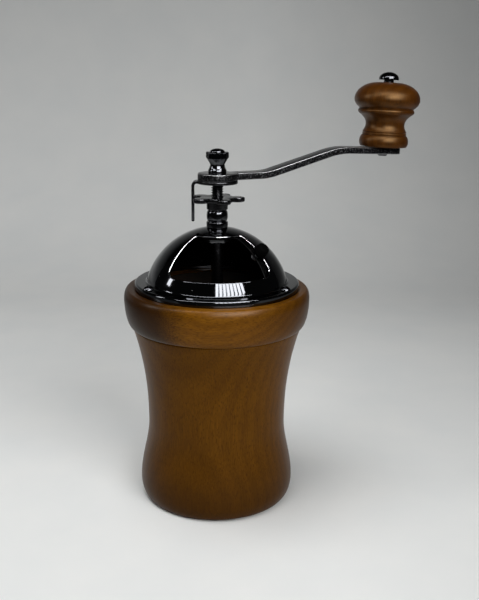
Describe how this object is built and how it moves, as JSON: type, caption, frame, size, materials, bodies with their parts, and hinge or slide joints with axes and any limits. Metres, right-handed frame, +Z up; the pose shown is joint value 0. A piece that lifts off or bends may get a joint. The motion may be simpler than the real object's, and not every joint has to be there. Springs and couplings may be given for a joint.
{
  "type": "manual coffee grinder",
  "caption": "Hand coffee mill with an hourglass wooden receptacle, a wooden collar, a polished dome hopper with a sliding door, ceramic conical burrs and a crank with a turned wooden knob.",
  "frame": {"origin": "middle of the base on the mill's axis, on the surface that it stands on", "axes": "+Z up along the shaft, -Y towards the front, where the hopper's opening is"},
  "size_m": [0.1521, 0.103, 0.2154],
  "materials": {
    "body_wood": "satin lacquer",
    "collar_wood": "satin lacquer",
    "knob_wood": "satin lacquer",
    "black_nickel": "mirror polish",
    "plated_steel": "satin plated",
    "bare_steel": "plain",
    "bronze": "plain",
    "black_plastic": "matte",
    "ceramic": "unglazed ceramic",
    "pad_rubber": "matte"
  },
  "bodies": {
    "receptacle_unit": {"receptacle": "body_wood", "base_pad": "pad_rubber"},
    "upper_unit": {"collar": "collar_wood", "hopper_dome": "black_nickel", "flange_screw_1": "black_nickel", "flange_screw_2": "black_nickel", "flange_screw_3": "black_nickel", "bearing_column": "black_nickel", "door_washer": "bare_steel", "column_nut": "bare_steel", "burr_housing": "black_plastic", "housing_screw_1": "bare_steel", "housing_screw_2": "bare_steel", "housing_screw_3": "bare_steel", "outer_burr": "ceramic", "shaft_guide": "black_plastic", "guide_bush": "bronze"},
    "door_unit": {"hopper_door": "black_nickel", "door_knob": "black_plastic", "door_rivet": "bare_steel"},
    "crank_unit": {"shaft": "plated_steel", "inner_burr": "ceramic", "burr_carrier": "black_plastic", "burr_nut": "bare_steel", "burr_spring": "bare_steel", "spring_washer": "bare_steel", "adjuster_nut": "plated_steel", "stopper_plate": "plated_steel", "crank_arm": "plated_steel", "thumb_nut": "black_nickel", "knob_spindle": "black_nickel"},
    "knob_unit": {"crank_knob": "knob_wood"}
  },
  "joints": [
    {"name": "upper_lift", "type": "slide", "parent": "receptacle_unit", "child": "upper_unit", "axis": [0, 0, 1], "range_m": [0, 0.045]},
    {"name": "door_turn", "type": "hinge", "parent": "upper_unit", "child": "door_unit", "pos_m": [0, 0, 0.135], "axis": [0, 0, 1], "range_deg": [-94.7, 0]},
    {"name": "crank_turn", "type": "hinge", "parent": "upper_unit", "child": "crank_unit", "pos_m": [0, 0, 0.15], "axis": [0, 0, 1], "continuous": true},
    {"name": "knob_spin", "type": "hinge", "parent": "crank_unit", "child": "knob_unit", "pos_m": [0.0877, 0.03905, 0.17708], "axis": [0.0383, 0.017, 0.9991], "continuous": true}
  ]
}
